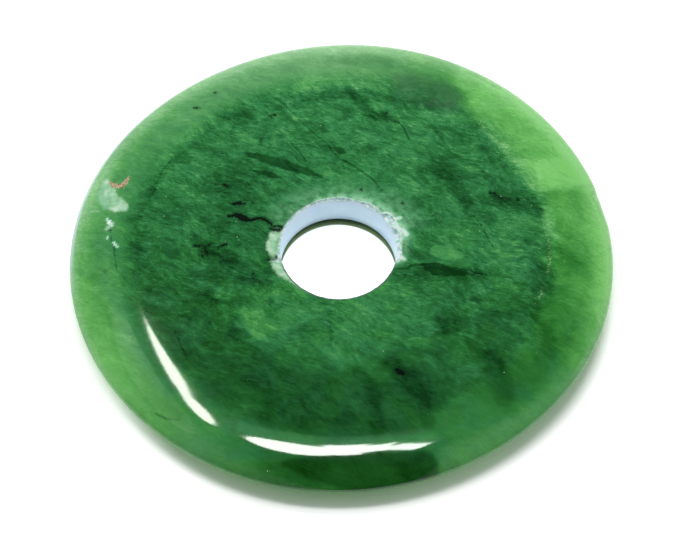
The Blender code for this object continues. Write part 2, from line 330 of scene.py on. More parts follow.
# Soft shades: change of tone, how far they fade, then the stroke. Some rows, marked below, are painted
# light and shade
SHADE_STROKES = (
    (0.07, 0.8, ((-8.6, -9.8, 0.45), (-7.6, -10.2, 0.65))),
    (0.06, 0.6, ((-12.3, -5.9, 0.2), (-11.6, -6.3, 0.32))),
    (0.06, 0.6, ((11.2, -7.1, 0.18), (12.6, -7.5, 0.28))),
    (0.06, 1, ((12.5, -13.9, 0.45), (13.6, -14.2, 0.5))),
    (0.08, 0.5, ((3, 17.9, 0.2), (3.7, 17.6, 0.3))),
    (0.06, 0.8, ((-10.4, 12.6, 0.2), (-8.6, 12.3, 0.42))),
    (0.06, 0.6, ((6.4, -4.6, 0.3), (8, -5, 0.34))),
    (0.05, 0.7, ((-0.6, -12.9, 0.2), (0.8, -13.6, 0.3))),
    (-0.15, 0.55, ((0, 20.6, 0.05), (1.4, 18.5, 0.22), (2.3, 17.2, 0.26), (3.4, 16.45, 0.24),
                   (4.8, 16.2, 0.12))),
    (-0.09, 0.55, ((16.4, 5.7, 0.1), (18.2, 5.5, 0.34), (19.4, 5.2, 0.45), (20.2, 4.3, 0.2))),
    (-0.07, 0.6, ((9.4, 11.4, 0.1), (10.4, 10.9, 0.32), (11.4, 10.3, 0.1))),
    (-0.09, 0.6, ((9.8, 9.4, 0.15), (10.9, 8.8, 0.4), (12, 7.2, 0.55), (13, 5.6, 0.25))),
    (-0.07, 0.5, ((-13, 16.1, 0.08), (-12.2, 16.2, 0.28), (-11.5, 16.3, 0.05))),
    (-0.05, 0.8, ((9.6, -8.6, 0.2), (10.6, -9.2, 0.5), (12.6, -9, 0.3))),
    (-0.07, 0.5, ((17.2, 1.9, 0.15), (18.4, 1.4, 0.35), (19.6, 0.8, 0.15))),
    (-0.1, 0.4, ((14.1, 12.8, 0.1), (15.1, 12.4, 0.14))),
    (-0.06, 0.6, ((22, 0.4, 0.15), (23.2, -0.6, 0.45), (24.2, -1.6, 0.2))),
    (-0.1, 1, ((9.4, 9.9, 0.3), (11.4, 8.9, 0.5), (12.2, 7, 0.6), (12.8, 5.8, 0.4))),
    (-0.1, 1, ((16.2, 6.1, 0.3), (18.2, 5.6, 0.5), (20, 5, 0.5), (20.3, 3.9, 0.3))),
    (-0.1, 0.9, ((8.2, -2.8, 0.4), (11, -3, 0.6), (13.8, -3.3, 0.4))),
    (-0.16, 0.5, ((13.5, -6.1, 0.1), (13.8, -6.2, 0.1))),
    (-0.06, 0.6, ((7.6, -3.6, 0.1), (7.9, -5.6, 0.3))),
    (-0.08, 0.5, ((12.2, -0.2, 0.1), (13, -0.9, 0.1))),
    (0.06, 0.25, ((7.4, -1.75, 0.05), (10, -1.65, 0.08), (11.2, -2, 0.05))),
    (-0.13, 1, ((5.2, -13.6, 0.3), (6.4, -15.2, 0.5), (7.6, -16.4, 0.4), (8.5, -16.9, 0.3))),
    (-0.08, 0.6, ((8.4, -18, 0.3), (8.7, -20.4, 0.4))),
    (-0.08, 0.9, ((1.8, -14.8, 0.3), (2.8, -15.9, 0.3), (3.5, -17.5, 0.3), (3.9, -21, 0.3))),
    (-0.08, 0.5, ((-13.4, -5.9, 0.1), (-12.6, -7.2, 0.15))),
    (-0.06, 0.9, ((-10.7, 16.3, 0.2), (-11.3, 14.6, 0.3), (-11.3, 12.8, 0.3), (-10.6, 11.6, 0.2))),
    (-0.04, 1.2, ((-11.6, 9.6, 0.5), (-10.4, 7.6, 0.8), (-10.8, 5.6, 0.6))),
    (-0.1, 1.2, ((-14.6, 0.2, 0.4), (-13, -1.2, 0.6), (-9.6, -3.6, 0.6))),
    (-0.08, 0.8, ((-16.5, 12.3, 0.1), (-18.7, 9.5, 0.12), (-19.4, 7.6, 0.12), (-20, 5.4, 0.1))),
    # Along the flat face's edge on the left; lower down, beside the left highlight, it is a painted dark
    # reflection
    (-0.09, 1.1, ((-21.2, 3, 0.1), (-21.4, -1, 0.25), (-21.5, -4, 0.25), (-20.9, -7.5, 0.25),
                  (-20, -10.5, 0.25), (-18.6, -13.6, 0.25), (-16.6, -16.6, 0.2))),
    (-0.05, 1.1, ((-14, 15, 0.2), (-12.5, 16.4, 0.3), (-8, 17.6, 0.2), (-4, 18.6, 0.2), (0, 19.3, 0.2))),
    (-0.08, 1.2, ((4, 18.8, 0.2), (8, 18.3, 0.3), (11, 17.6, 0.3))),
    (-0.07, 1, ((7, 20.8, 0.3), (10, 20.2, 0.4), (12.6, 19.2, 0.3))),
    (-0.08, 0.6, ((8.9, 18, 0.1), (10.3, 17.9, 0.1))),
    (-0.12, 1.2, ((15.2, -13, 0.5), (15.6, -15, 0.6), (16.3, -17, 0.4))),
    (-0.06, 0.9, ((20.7, -9.8, 0.3), (21, -12, 0.3))),
    (-0.09, 2, ((22.2, 1.4, 0.5), (23.6, -0.6, 0.5), (24.3, -2, 0.4))),
    (-0.05, 2, ((-13, 8, 0.4), (-12.3, 5, 1.2), (-12.6, 1, 1.4), (-13.5, -3, 0.8))),
    (0.1, 0.4, ((-8.9, -8.4, 0.2), (-7.9, -8.2, 0.2))),
    (0.12, 0.3, ((8.2, 17.9, 0.15),)),
    (0.07, 0.7, ((17.3, -12, 0.4), (18.6, -12.6, 0.4))),
    (-0.07, 0.5, ((-8.4, 18.6, 0.05), (-5.6, 15.6, 0.1), (-4.2, 13.4, 0.08), (-3.2, 11.4, 0.05))),
    (-0.06, 0.6, ((2.2, 12.8, 0.05), (4.6, 11.2, 0.15), (6.6, 9.2, 0.1))),
    (-0.07, 0.6, ((-6.4, 12.4, 0.05), (-5, 11, 0.12), (-3.8, 9.8, 0.05))),
    (0.06, 0.6, ((-12.4, 12.6, 0.2), (-10.6, 13.6, 0.3))),
    (0.08, 0.25, ((-5.4, 16, 0.06), (-3.4, 15.9, 0.08), (-1.6, 15.6, 0.05))),
    (0.06, 0.8, ((-2, 18, 0.5), (-0.5, 15, 1), (1.5, 13.5, 0.8))),
    (0.05, 0.3, ((2.4, -20.1, 0.02), (5.5, -19.8, 0.02), (8.4, -19, 0.02))),
    # Painted dark reflection on the front rim under the front highlight, in this row and the three below
    (-0.16, 0.6, ((-5.2, -24.8, 0), (-2.5, -25.1, 0.9), (2, -25.3, 1.5), (6, -25.2, 1.6),
                  (8.2, -24.8, 1.35))),
    (-0.05, 2.2, ((-5.6, -25.2, 0.4), (-3, -25.6, 0.8))),
    (-0.1, 0.9, ((6.6, -25, 0.5), (8.4, -24.6, 0.8))),
    (-0.05, 1.6, ((-7.5, -25.2, 0.2), (-5.5, -26, 0.4), (-3.2, -26.6, 0.4))),
    # Painted glow along the upper edge of the front highlight
    (0.1, 0.8, ((-9.5, -21, 0.1), (-7.2, -21.8, 0.2), (-2.6, -22.6, 0.3), (0.3, -22.9, 0.3),
                (3.3, -22.6, 0.3), (6.8, -22.3, 0.2), (9, -21.7, 0.1))),
    (-0.05, 1.4, ((-7, -20, 0.3), (0, -20.8, 0.4), (7, -20.2, 0.3))),
    (-0.1, 1.2, ((-1.4, 24, 0.2), (2, 24.2, 0.3), (4.4, 23.9, 0.2))),
)

# Areas that are lighter or darker: change of tone, how far it spreads, then the corners
ZONES = (
    (0.19, 1.6, ((11.6, 21.6), (12.9, 18.6), (14, 16.2), (15.3, 13.9), (16.8, 11.6), (18.1, 9.2),
                 (19.4, 7.2), (22.6, 7.6), (24.2, 7.9), (25.8, 8.6), (29, 9.8), (28, 20), (18, 26),
                 (12.5, 25.5))),
    (0.06, 0.5, ((20.4, 7.3), (22.6, 7.6), (24.2, 7.9), (25.8, 8.6), (29, 9.8), (26, 13), (20, 11))),
    (0.1, 1.6, ((19.6, 4.4), (20, 1), (20.4, -1.6), (21.6, -1.4), (21.6, 1), (21.2, 4.8))),
    (0.05, 2, ((15.5, 5), (19.5, 4.6), (20.5, -2), (17, -3), (15, 1))),
    (0.12, 1.8, ((-10.5, -7.5), (-9.8, -10.6), (-5.4, -12.9), (-0.5, -14.5), (3.4, -13.4),
                 (5.6, -12.2), (9.4, -11.4), (9.6, -7.5), (6, -4), (-6, -4))),
    (0.04, 3, ((-7, 5), (-5, 9.5), (2, 10.5), (9, 8), (8, 3), (0, 4))),
    (0.05, 2, ((6.5, 3), (14, 3), (20, -4), (14, -8), (7, -4))),
    (-0.05, 3, ((-16, -13), (-10, -13.5), (0, -16), (8, -14), (10, -18), (0, -21), (-11, -18))),
)
HAZE_ZONES = (
    (0.55, 2, ((5.2, 21.9), (9, 22.3), (11, 21.2), (12.8, 19.4), (12.6, 17.8), (11, 17.2), (9.1, 17.9),
               (6.4, 18.8), (5.1, 20))),
    (0.14, 3, ((-4, 24.6), (5, 25.2), (9, 24), (5.5, 20.5), (0, 21.5), (-5, 22))),
)

# The stone's lightness, as tone from 0, near black, to 1, pale: flat face, and how it grows along +Y
BODY_TONE = 0.48
TONE_GROWTH = 0.0052
GROWTH_REACH = 17.0

# The thin edge lets light through, so tone rises from the shoulder's start to the very edge
RIM_RADII = (20.4, 21.4, 24.2, 26.9)
RIM_TONES = (0.59, 0.69, 0.91)
# The underside's edge is painted lighter, for the light it gets from the floor and through the thin edge
UNDERSIDE_EDGE_TONE = 0.92
RIM_EARLIER_AT_TOP = 0.7
RIM_WAVERS = ((0.3, 3, 57.0), (0.22, 7, 115.0), (0.14, 13, 30.0))

# Where the rim is darker or lighter: angle, spread, then the change in each of the tones above. Like
# those tones, these paint the light that comes through the edge as well as the stone's own changes; the
# first row is painted shade on the front rim
RIM_PLACES = (
    (272, 45, -0.18, -0.21, -0.39),
    (325, 18, -0.05, -0.14, -0.08),
    (92, 14, 0.14, 0.13, 0.04),
    (62, 12, 0, -0.06, -0.06),
    (138, 16, 0.08, 0.03, -0.02),
    (152, 10, 0, -0.06, -0.1),
    (165, 12, -0.12, 0, 0.07),
    (8, 14, 0.19, 0.12, 0.1),
    (352, 8, 0, 0.08, 0.09),
    (212, 14, 0.02, 0.14, 0.09),
    (240, 8, 0.04, 0.07, 0),
    (300, 10, 0.08, 0.08, 0.08),
    (188, 20, 0.03, -0.03, -0.08),
)

# Rows of fine pale grit
GRIT = (
    ((14.3, 16.2, 0.08), (14.6, 15.4, 0.14), (14.9, 14.5, 0.08)),
    ((15, 14.4, 0.04), (16, 13.6, 0.08), (16.9, 12.6, 0.14), (17.4, 11.4, 0.08)),
    ((20.5, 4.6, 0.06), (20.8, 3, 0.06), (21.2, 0.8, 0.1), (21.3, -1.2, 0.12), (21, -2.8, 0.06)),
    ((20.4, -4.8, 0.1), (20.1, -5.8, 0.12)),
)

# Pale cloudy places: how pale, how far they fade, then the stroke
PALE_STROKES = (
    (0.06, 0.6, ((14.5, 16, 0.1), (14.9, 14.6, 0.1), (16.5, 12.9, 0.1), (17.5, 11.4, 0.1))),
    (0.06, 0.5, ((20.6, 6.2, 0.1), (20.9, 3.4, 0.1), (21.3, 0.6, 0.1), (21.3, -1.6, 0.1),
                 (20.6, -5, 0.1))),
    (0.08, 0.6, ((20.4, -5.2, 0.1), (20, -6.2, 0.1))),
    (0.22, 0.9, ((-2.4, 5.6, 0), (0, 5.9, 0.1), (2.4, 5.6, 0.1), (4.6, 4.2, 0.1))),
    (0.3, 3.2, ((-6, 3.6, 0.3), (-4.5, 5, 0.5), (0, 6.2, 0.6), (4.5, 5, 0.8), (6.5, 3.5, 0.6))),
    (0.9, 0.45, ((4.4, 4, 0), (5.2, 2.9, 0.1), (5.7, 1.6, 0.1), (5.8, 0, 0.1), (5.6, -1.6, 0))),
    (0.24, 1.3, ((4.6, 3.8, 0.1), (5.6, 2.4, 0.2), (5.9, 0.4, 0.3), (5.8, -1.6, 0.1))),
    (0.16, 1.3, ((6, 1.8, 0.1), (6.4, 0.8, 0.3), (6.3, -0.6, 0.3), (6, -1.4, 0.1))),
    (0.4, 0.3, ((5.7, 2.2, 0), (6.2, 2.1, 0.02), (6.6, 1.6, 0.12))),
    (0.45, 0.3, ((5.2, 3.3, 0), (6, 3.6, 0.03))),
    (0.45, 0.3, ((5.9, -1, 0.03), (6.4, -1.5, 0.06))),
    (0.6, 0.6, ((-6.3, 0.6, 0), (-6.4, -0.8, 0.1), (-5.9, -2.2, 0.1))),
    (0.8, 0.3, ((-7.2, -1.9, 0.05), (-6.5, -1.9, 0.15))),
    (0.14, 0.8, ((-22.3, 10, 0.2),)),
    (0.12, 1, ((-24.8, -7.8, 0.2),)),
    (0.3, 0.25, ((24, 8, 0.05), (25.9, 8.7, 0.12))),
    (0.45, 0.4, ((-25.2, 7.4, 0.1), (-25.2, 5.8, 0.2), (-24.6, 4.4, 0.2))),
    (0.95, 0.15, ((-24.3, 2.9, 0.1), (-24, 2.5, 0.18), (-23.7, 2.2, 0.1))),
    (0.9, 0.15, ((-24.1, 0.65, 0.1),)),
    (0.9, 0.12, ((-23.4, 0, 0.07), (-22.95, -0.6, 0.07))),
)

SPECKS = (
    (6.9, 3.5), (9.3, 4.2), (10.1, 3.6), (18.9, 8.7), (-11.9, 0.4), (-10.8, 0.9), (-11, 2.8),
    (-11.9, 2.4), (-18.3, 5.7), (-18.4, 3.3), (-22.8, 8.8), (-1.2, 12), (7.1, 11.3), (6.6, 9.6),
    (10.1, 4.3), (-6.6, -25.4), (-6.2, 2.6), (-5.3, 4.1), (18.8, 6.1), (-16.7, 1.9),
)
SPECK_HALF_WIDTH = 0.06

# The underside has no marks: it is this far from all of them
FAR = 9.0

# The rim's wavering fades out over these radii, and the zones lose this share
NEAR_EDGE = (23.0, 27.0)
ZONE_LOSS = 0.4

# The bore's rim turns from broken to worn over these sines of the angle to the front
FRONT_OF_BORE = (0.15, 0.45)


def zone_distance(x, y, corners):
    """The distance to a closed outline's edge; negative inside it."""
    edge = [(ax, ay, 0.0) for ax, ay in corners + corners[:1]]
    inside = np.zeros(x.shape, dtype=bool)
    for (ax, ay, _), (bx, by, _) in zip(edge, edge[1:]):
        level = ax + (y - ay) / ((by - ay) or TINY) * (bx - ax)
        inside ^= ((ay > y) != (by > y)) & (x < level)
    away = stroke_distance(x, y, edge)
    return np.where(inside, -away, away)


def zones_sum(x, y, zones):
    """The summed amounts of whole areas, each fading across its edge."""
    total = np.zeros(x.shape)
    for amount, fade, corners in zones:
        total += amount * (1 - smooth_share(zone_distance(x, y, corners), -fade / 2, fade / 2))
    return total


def strokes_distance(x, y, strokes):
    return np.minimum.reduce([stroke_distance(x, y, stroke) for stroke in strokes])


def strokes_sum(x, y, strokes):
    """The summed amounts of soft strokes."""
    total = np.zeros(x.shape)
    for amount, fade, stroke in strokes:
        total += amount * (1 - smooth_share(stroke_distance(x, y, stroke), 0, fade))
    return total


def add_object(name, data):
    made = bpy.data.objects.new(name, data)
    bpy.context.scene.collection.objects.link(made)
    return made


def add_attribute(mesh, name, values):
    layer = mesh.attributes.new(name, "FLOAT", "POINT")
    layer.data.foreach_set("value", np.asarray(values, dtype=np.float32))


def stone_tone(x, y, upper, angle, radius):
    """The lightness before veins and marks: even on the face, lighter towards the thin edge with painted
    light through it, darker on the front rim with painted shade.
    """
    tone = BODY_TONE + TONE_GROWTH * GROWTH_REACH * np.tanh(y / GROWTH_REACH)
    levels = [np.full(angle.shape, level) for level in RIM_TONES]
    for middle, spread, *changes in RIM_PLACES:
        away = np.degrees(away_from(angle, middle)) / spread
        for level, change in zip(levels, changes):
            level += change * np.exp(-away * away)
    levels[-1] = np.where(upper, levels[-1], (levels[-1] + UNDERSIDE_EDGE_TONE) / 2)
    waver = RIM_EARLIER_AT_TOP * np.sin(angle)
    for size, lobes, turn in RIM_WAVERS:
        waver = waver + wave(angle, size, lobes, turn)
    near_edge = smooth_share(radius, *NEAR_EDGE)
    wavering_radius = radius + waver * (1 - near_edge)
    for start, end, level in zip(RIM_RADII, RIM_RADII[1:], levels):
        tone = tone + (level - tone) * smooth_share(wavering_radius, start, end)
    marks = zones_sum(x, y, ZONES) * (1 - ZONE_LOSS * near_edge) + strokes_sum(x, y, SHADE_STROKES)
    return tone + np.where(upper, marks, 0.0)


def mark_stone(mesh, places, kinds, middle):
    """Stores where the stone's marks are, for its material to read."""
    x, y, z = places.T
    kind = np.repeat(np.array(kinds), ANGLE_STEPS)
    upper = z > THICKNESS / 2
    out_x, out_y = x + middle[0], y + middle[1]
    angle = np.arctan2(out_y, out_x)
    even_radius = np.hypot(out_x, out_y) / ground_radius(angle) * OUTER_RADIUS
    add_attribute(mesh, "even_radius", even_radius)
    add_attribute(mesh, "tone", stone_tone(x, y, upper, angle, even_radius))
    specks = [((px, py, SPECK_HALF_WIDTH),) for px, py in SPECKS]
    for name, strokes in (
        ("black", BLACK_STROKES),
        ("mint", MINT_STROKES),
        ("rust", RUST_STROKES),
        ("speck", specks),
        ("dark_patch", DARK_PATCHES),
        ("light_patch", LIGHT_PATCHES),
        ("thread", THREADS),
        ("grit", GRIT),
    ):
        add_attribute(mesh, name, np.where(upper, strokes_distance(x, y, strokes), FAR))
    add_attribute(mesh, "pale", np.where(upper, strokes_sum(x, y, PALE_STROKES), 0.0))
    add_attribute(mesh, "haze", np.where(upper, zones_sum(x, y, HAZE_ZONES), 0.0))
    wall = kind == "wall"
    add_attribute(mesh, "bore_wall", np.where(wall, 1.0, 0.0))
    add_attribute(mesh, "height", z)
    chip = kind == "chip"
    at_front = smooth_share(-np.sin(np.arctan2(y - BORE_Y, x - BORE_X)), *FRONT_OF_BORE)
    add_attribute(mesh, "broken", np.where(chip, 1.0 - at_front, 0.0))
    add_attribute(mesh, "worn_edge", np.where(chip, at_front, 0.0))


def make_disc():
    """The whole stone as one closed mesh, ring by ring around its section."""
    rings, kinds, middle = disc_rings()
    places = dented(rings.reshape(-1, 3).copy())
    here = np.arange(len(places)).reshape(-1, ANGLE_STEPS)
    onward = np.roll(here, -1, axis=0)
    corners = (here, onward, np.roll(onward, -1, axis=1), np.roll(here, -1, axis=1))
    faces = np.stack([corner.ravel() for corner in corners], axis=1)
    mesh = bpy.data.meshes.new("nephrite_disc")
    mesh.from_pydata((places * MM).tolist(), [], faces.tolist())
    mark_stone(mesh, places, kinds, middle)
    mesh.shade_smooth()
    return add_object("nephrite_disc", mesh)


def srgb(red, green, blue):
    """A colour given as 0 to 255, as the shaders read it."""
    def linear(value):
        value /= 255
        return value / 12.92 if value <= 0.04045 else ((value + 0.055) / 1.055) ** 2.4
    return (linear(red), linear(green), linear(blue), 1.0)


class Shader:
    """Adds nodes to one material or world, with their inputs linked or set."""

    def __init__(self, owner):
        owner.use_nodes = True
        self.tree = owner.node_tree
        self.tree.nodes.clear()

    def node(self, kind, inputs=None, **settings):
        made = self.tree.nodes.new(kind)
        for name, value in settings.items():
            setattr(made, name, value)
        for key, value in (inputs or {}).items():
            if isinstance(value, bpy.types.NodeSocket):
                self.tree.links.new(value, made.inputs[key])
            else:
                made.inputs[key].default_value = value
        return made

    def math(self, operation, first, *others, clamp=False):
        """One operation over the values in turn; clamp holds the last result from 0 to 1."""
        for second in others or (0.0,):
            first = self.node("ShaderNodeMath", {0: first, 1: second}, operation=operation).outputs[0]
        first.node.use_clamp = clamp
        return first

    def add(self, *values, clamp=False):
        return self.math("ADD", *values, clamp=clamp)

    def times(self, *values, clamp=False):
        return self.math("MULTIPLY", *values, clamp=clamp)

    def less(self, first, second):
        return self.math("SUBTRACT", first, second)

    def most(self, *values):
        return self.math("MAXIMUM", *values)

    def vector(self, operation, inputs, output="Vector"):
        return self.node("ShaderNodeVectorMath", inputs, operation=operation).outputs[output]

    def millimetres(self):
        """Places on the object, in millimetres about the origin."""
        place = self.node("ShaderNodeTexCoord").outputs["Object"]
        return self.vector("SCALE", {0: place, "Scale": 1.0 / MM})

    def parts(self, vector):
        return self.node("ShaderNodeSeparateXYZ", {"Vector": vector}).outputs

    def stored(self, name):
        return self.node("ShaderNodeAttribute", attribute_name=name).outputs["Fac"]

    def rise(self, value, start, end, low=0.0, high=1.0):
        """A smooth rise from low to high as the value goes from start to end."""
        inputs = {"Value": value, "From Min": start, "From Max": end, "To Min": low, "To Max": high}
        return self.node("ShaderNodeMapRange", inputs, interpolation_type="SMOOTHSTEP").outputs["Result"]

    def noise(self, vector, size, detail, roughness):
        inputs = {"Vector": vector, "Scale": 1.0 / size, "Detail": detail, "Roughness": roughness}
        return self.node("ShaderNodeTexNoise", inputs).outputs["Fac"]

    def stretch(self, vector, direction, sizes):
        """Coordinates in which a pattern of size 1 gets these sizes along and across a direction."""
        inputs = {"Vector": vector, "Rotation": (0.0, 0.0, math.radians(direction)), "Scale": sizes}
        return self.node("ShaderNodeMapping", inputs, vector_type="TEXTURE").outputs["Vector"]

    def laid(self, vector, direction, sizes, detail, roughness):
        """Noise that lies along a direction."""
        return self.noise(self.stretch(vector, direction, sizes), 1.0, detail, roughness)

    def centred(self, pattern, weight):
        """A pattern from 0 to 1, moved to lie about 0 and weighted."""
        return self.times(self.less(pattern, 0.5), weight)

    def scattered(self, vector, spacing, radius, gate):
        """Small round dots: one in each cell of this spacing whose random draw passes the gate."""
        cells = self.node("ShaderNodeTexVoronoi", {"Vector": vector, "Scale": 1.0 / spacing})
        draws = self.parts(cells.outputs["Color"])
        chosen = self.math("GREATER_THAN", draws["X"], gate)
        past = self.less(cells.outputs["Distance"], self.times(draws["Y"], radius / spacing))
        outer, inner = (share * radius / spacing for share in DOT_EDGE)
        return self.times(chosen, self.rise(past, outer, inner))

    def ramp(self, value, stops):
        """A run of colours; each stop is a place from 0 to 1, then red, green and blue."""
        made = self.node("ShaderNodeValToRGB", {"Fac": value})
        points = made.color_ramp.elements
        points[0].position, points[1].position = stops[0][0], stops[-1][0]
        points[0].color, points[1].color = srgb(*stops[0][1:]), srgb(*stops[-1][1:])
        for place, *colour in stops[1:-1]:
            points.new(place).color = srgb(*colour)
        return made.outputs["Color"]

    def mix(self, share, first, second):
        inputs = {"Factor": share, 6: first, 7: second}
        return self.node("ShaderNodeMix", inputs, data_type="RGBA").outputs[2]

    def blend(self, share, first, second):
        """A mix of two plain values."""
        inputs = {"Factor": share, 2: first, 3: second}
        return self.node("ShaderNodeMix", inputs, data_type="FLOAT").outputs[0]

    def paint(self, share, under, colour):
        """Lays one colour, given as 0 to 255, over what is under it."""
        return self.mix(share, under, srgb(*colour))

    def surface(self, inputs):
        """Ends a material with its one surface."""
        surface = self.node("ShaderNodeBsdfPrincipled", inputs)
        self.node("ShaderNodeOutputMaterial", {"Surface": surface.outputs["BSDF"]})


# A slow noise bends the patterns: its size and its reach
DRIFT_SIZE = 5
DRIFT_REACH = 3

# Patterns along a direction: direction, sizes, detail, roughness
STREAKS = (-20, (3.2, 1.3, 2), 4, 0.6)
STRANDS = (-24, (0.9, 0.28, 0.5), 2, 0.6)
CROSSING = (-48, (5, 1.4, 2), 3, 0.55)
FIBRES = (-10, (1.1, 0.13, 0.3), 2, 0.5)
FLECKS = (-12, (0.7, 0.2, 0.3), 1, 0.5)

# Plates with clearer borders: the same, then the rise of the tone over the pattern
PLATES = (
    (-26, (3.4, 1.5, 2), 2, 0.55, (0.48, 0.56, -0.03, 0.035)),
    (-38, (1.5, 0.7, 1), 2, 0.55, (0.5, 0.57, -0.015, 0.035)),
)

# Patterns without a direction: size, detail, roughness
CLOUDS = (5.5, 3, 0.5)
WARM_CLOUDS = (2.6, 2, 0.55)
MOTTLE = (0.8, 3, 0.6)
GRAIN = (0.13, 2, 0.7)
RAGGEDNESS = (0.3, 3, 0.7)
GRIT_GRAINS = (0.16, 1, 0.5)
CRUMBS = (0.42, 2, 0.6)
WALL_CLOUDS = (1.6, 2, 0.5)

# Weights of the patterns in the tone and along the marks' edges
PATTERN_WEIGHTS = (0.38, 0.3, 0.2, 0.22, 0.24)
GRAIN_WEIGHT = 0.36
MARK_RAGGED = 0.6
PATCH_RAGGED = 0.5
THREAD_WAVER = 0.16
PATCH_CALM = 0.5

# Smooth rises over a pattern or an amount: start, end, low, high
FIBRE_RISE = (0.4, 0.33, 0, -0.1)
FLECK_RISE = (0.6, 0.68, 0, 0.1)
WARM_CLOUD_RISE = (0.35, 0.65, 0, 0.5)
HAZE_RISE = (0.38, 0.58, 0.45, 1)
PALE_CLOUD_RISE = (0.3, 0.6, 0.65, 1.1)
PALE_RISE = (0, 0.65)
GRIT_RISE = (0.54, 0.66, 0, 0.7)
POLISH_RISE = (0.3, 0.7, 0.045, 0.065)

# Smooth rises over the distance to a mark's edge
DARK_PATCH_EDGE = (0.14, -0.16)
LIGHT_PATCH_EDGE = (0.1, -0.12)
THREAD_EDGE = (0.13, 0, 0, -0.18)
MINT_EDGE = (0.15, -0.3, 0, 0.95)
RUST_EDGE = (0.08, -0.1, 0, 0.9)
HALO_EDGE = (0.34, 0, 0, 0.5)
BLACK_EDGE = (0.08, -0.06, 0, 0.95)
GRIT_EDGE = (0.16, -0.04)
SPECK_EDGE = (0.05, -0.03)

# Where a layer shows: a product of smooth rises, each over x, y or the even radius
FINENESS = (("y", -13, -2, 0.45, 1),)
CALM = (("radius", 20.5, 23, 1, 0.5), ("y", -17, -9, 0.6, 1))
WARMTH = (("y", -8, 8, 1.1, 0.45),)
RIM_WARMTH = (("x", -4, 20, 0.2, 0.9), ("y", -17, -6, 0.3, 1), ("radius", 19.5, 23))
LOW_LEFT_WARMTH = (("x", -12, -19), ("y", 4, -12, 0.3, 0.9), ("radius", 23, 25))
# Warm greens on the front edge, under the painted dark reflection there
FRONT_SHADE_WARMTH = (("y", -23.6, -25),)
# Grey-white veil on the shoulder at the top and left: partly the stone's milkiness, partly painted
# reflection of the pale surroundings
MILK_AND_SHEEN = (
    ("radius", 21, 24, 0, 0.1),
    ("radius", 25.8, 24.2, 0.35, 1),
    ("x", 16, -2),
    ("x", -23, -8, 0.3, 1),
    ("y", -18, -10),
)
# Painted reflection of the pale surroundings along the nose of the edge
NOSE_REFLECTION = (("radius", 26.9, 27.3), ("y", -8, 4, 0, 0.75), ("x", 4, -12))

# Runs of colour: place, red, green, blue
COOL_GREENS = (
    (0, 1, 14, 8), (0.25, 10, 62, 25), (0.45, 36, 103, 53), (0.6, 54, 134, 77),
    (0.75, 86, 163, 94), (0.9, 131, 192, 131), (1, 159, 212, 156),
)
WARM_GREENS = (
    (0, 0, 18, 1), (0.25, 4, 64, 3), (0.45, 33, 103, 36), (0.6, 55, 134, 55),
    (0.75, 81, 163, 75), (0.9, 112, 192, 100), (1, 132, 212, 114),
)
MINT_COLOURS = ((0.3, 130, 194, 142), (0.5, 168, 216, 176), (0.7, 206, 236, 208))
PALE_COLOURS = ((0.12, 76, 152, 98), (0.5, 138, 204, 156), (0.9, 216, 240, 228))
RUST_COLOURS = ((0.38, 128, 84, 48), (0.5, 188, 150, 110), (0.6, 232, 212, 190))
BROKEN_COLOURS = ((0.36, 146, 198, 178), (0.5, 198, 226, 222), (0.6, 236, 246, 248))
WALL_COLOURS = ((0.3, 214, 237, 254), (0.7, 224, 245, 255))

# Single colours: red, green, blue
# The veil's colour: milky stone and painted reflection
MILK_AND_SHEEN_COLOUR = (190, 200, 196)
# Colour of the painted reflection along the nose
NOSE_REFLECTION_COLOUR = (206, 232, 232)
HAZE_COLOUR = (66, 104, 78)
HALO_COLOUR = (10, 50, 26)
BLACK_COLOUR = (4, 12, 7)
GRIT_COLOUR = (160, 192, 136)
SPECK_COLOUR = (200, 222, 180)
DARK_SPECK_COLOUR = (3, 26, 10)
WORN_EDGE_COLOUR = (42, 84, 70)
WALL_TOP_COLOUR = (240, 250, 255)
# Painted shade at the foot of the bore's wall
WALL_FOOT_SHADE_COLOUR = (70, 96, 66)

# Scattered dots: spacing, radius, gate. A dot's edge is given in shares of its radius
LIGHT_DOTS = (1.1, 0.055, 0.72)
DARK_DOTS = (1.3, 0.07, 0.72)
DARK_DOT_STRETCH = (-20, (1.5, 1, 1))
DARK_DOT_SHARE = 0.8
DOT_EDGE = (0.3, -0.1)

# Heights where the bore's wall gets lighter at its top and darker at its foot; the darkening is painted
# shade where the wall meets the floor
WALL_TOP = (THICKNESS - 0.4, THICKNESS - 0.2, 0, 0.7)
WALL_FOOT_SHADE = (0.16, 0.06)

# The surface: nephrite's index of refraction, matt places and fine relief
STONE_IOR = 1.62
MATT_ROUGHNESS = 0.55
MINT_MATT = 0.35
MOTTLE_RELIEF = 0.35
RELIEF_STRENGTH = 0.2
RELIEF_DEPTH = 0.02


